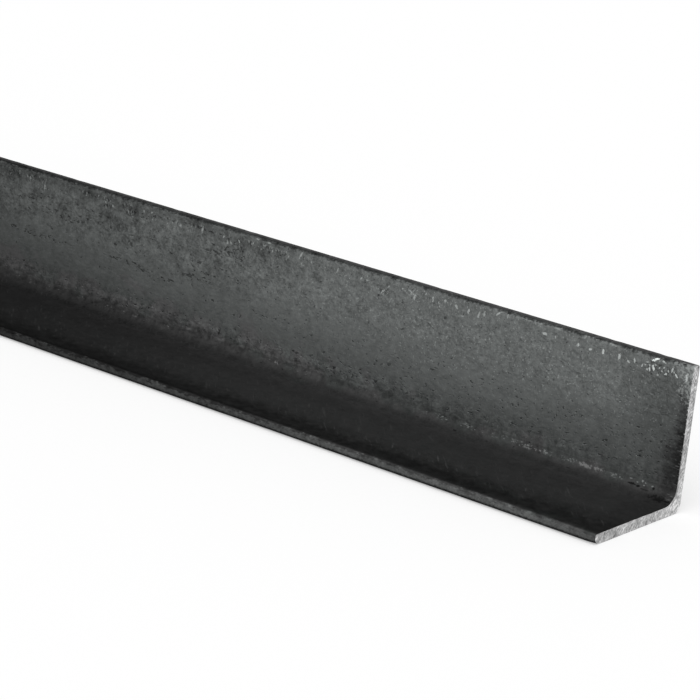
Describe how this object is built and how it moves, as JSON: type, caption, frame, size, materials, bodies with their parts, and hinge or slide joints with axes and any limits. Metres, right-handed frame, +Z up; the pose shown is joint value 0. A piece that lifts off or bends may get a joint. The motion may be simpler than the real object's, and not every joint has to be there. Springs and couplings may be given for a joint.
{
  "type": "metal angle section",
  "caption": "Length of hot-rolled plain steel equal angle in black mill scale, with rounded root and toes and square sawn ends.",
  "frame": {"origin": "on the floor, under the middle of the bounding box", "axes": "+X along the bar, +Y from the toe of the flat leg towards the heel and the upright leg, +Z up, along the upright leg"},
  "size_m": [1, 0.04, 0.04],
  "materials": {
    "mill_scale_steel": "hot-rolled black mill scale, matt to satin, with bright sawn ends"
  },
  "bodies": {
    "root": {"angle_bar": "mill_scale_steel"}
  },
  "joints": []
}
